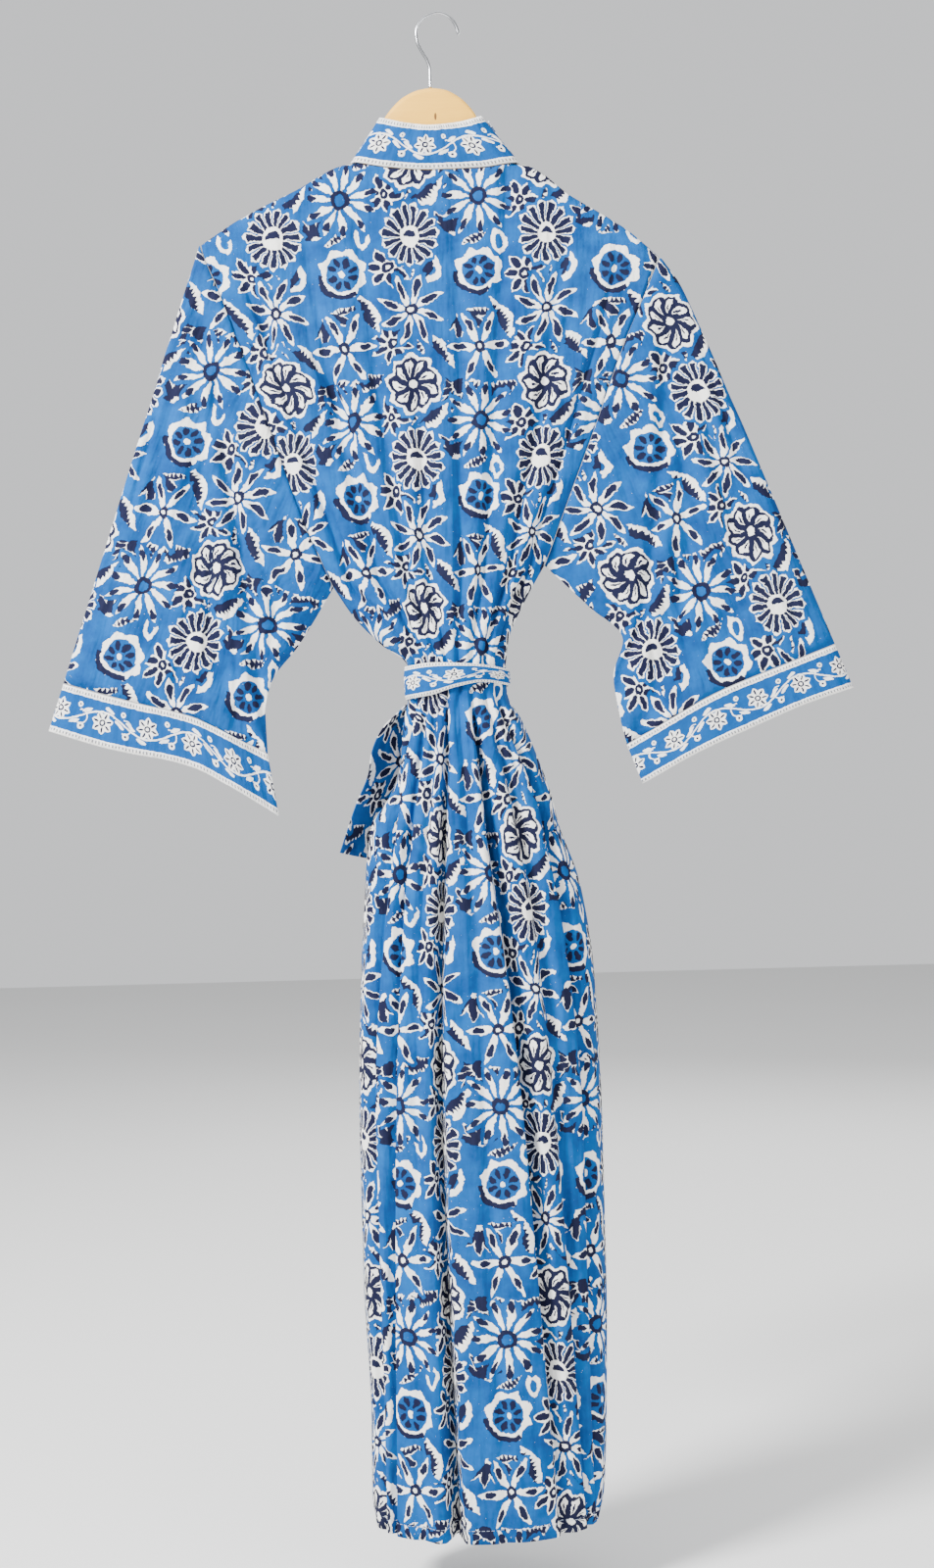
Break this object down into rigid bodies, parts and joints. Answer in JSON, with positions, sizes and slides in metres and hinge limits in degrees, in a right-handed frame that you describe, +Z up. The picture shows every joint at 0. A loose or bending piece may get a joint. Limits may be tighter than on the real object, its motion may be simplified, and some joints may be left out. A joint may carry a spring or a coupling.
{
  "type": "kimono robe on hanger",
  "caption": "Long cotton kimono robe in a floral block print, border bands at collar, cuffs and belt, belted and hung by a wooden hanger with a wire hook.",
  "frame": {"origin": "inside top of the hanger's hook, where a rail or wall hook carries it", "axes": "+Z up; -Y towards the garment's back, which the picture shows; -X the wearer's left"},
  "size_m": [0.756, 0.1626, 1.4154],
  "materials": {
    "printed_cotton": "matt block-printed cotton voile, cream and navy flowers on azure",
    "border_print": "matt printed cotton border, cream vine between ladder lines on blue",
    "pale_wood": "satin pale wood",
    "bright_steel": "bright drawn wire"
  },
  "bodies": {
    "root": {"back_panel": "printed_cotton", "front_panel_left": "printed_cotton", "front_panel_right": "printed_cotton", "sleeve_left": "printed_cotton", "sleeve_right": "printed_cotton", "pocket_left": "printed_cotton", "collar_back": "border_print", "front_band_left": "border_print", "front_band_right": "border_print", "cuff_band_left": "border_print", "cuff_band_right": "border_print", "belt_band": "border_print", "belt_knot": "border_print", "belt_tail_1": "border_print", "belt_tail_2": "border_print", "hanger_wood": "pale_wood", "hanger_hook": "bright_steel"}
  },
  "joints": []
}
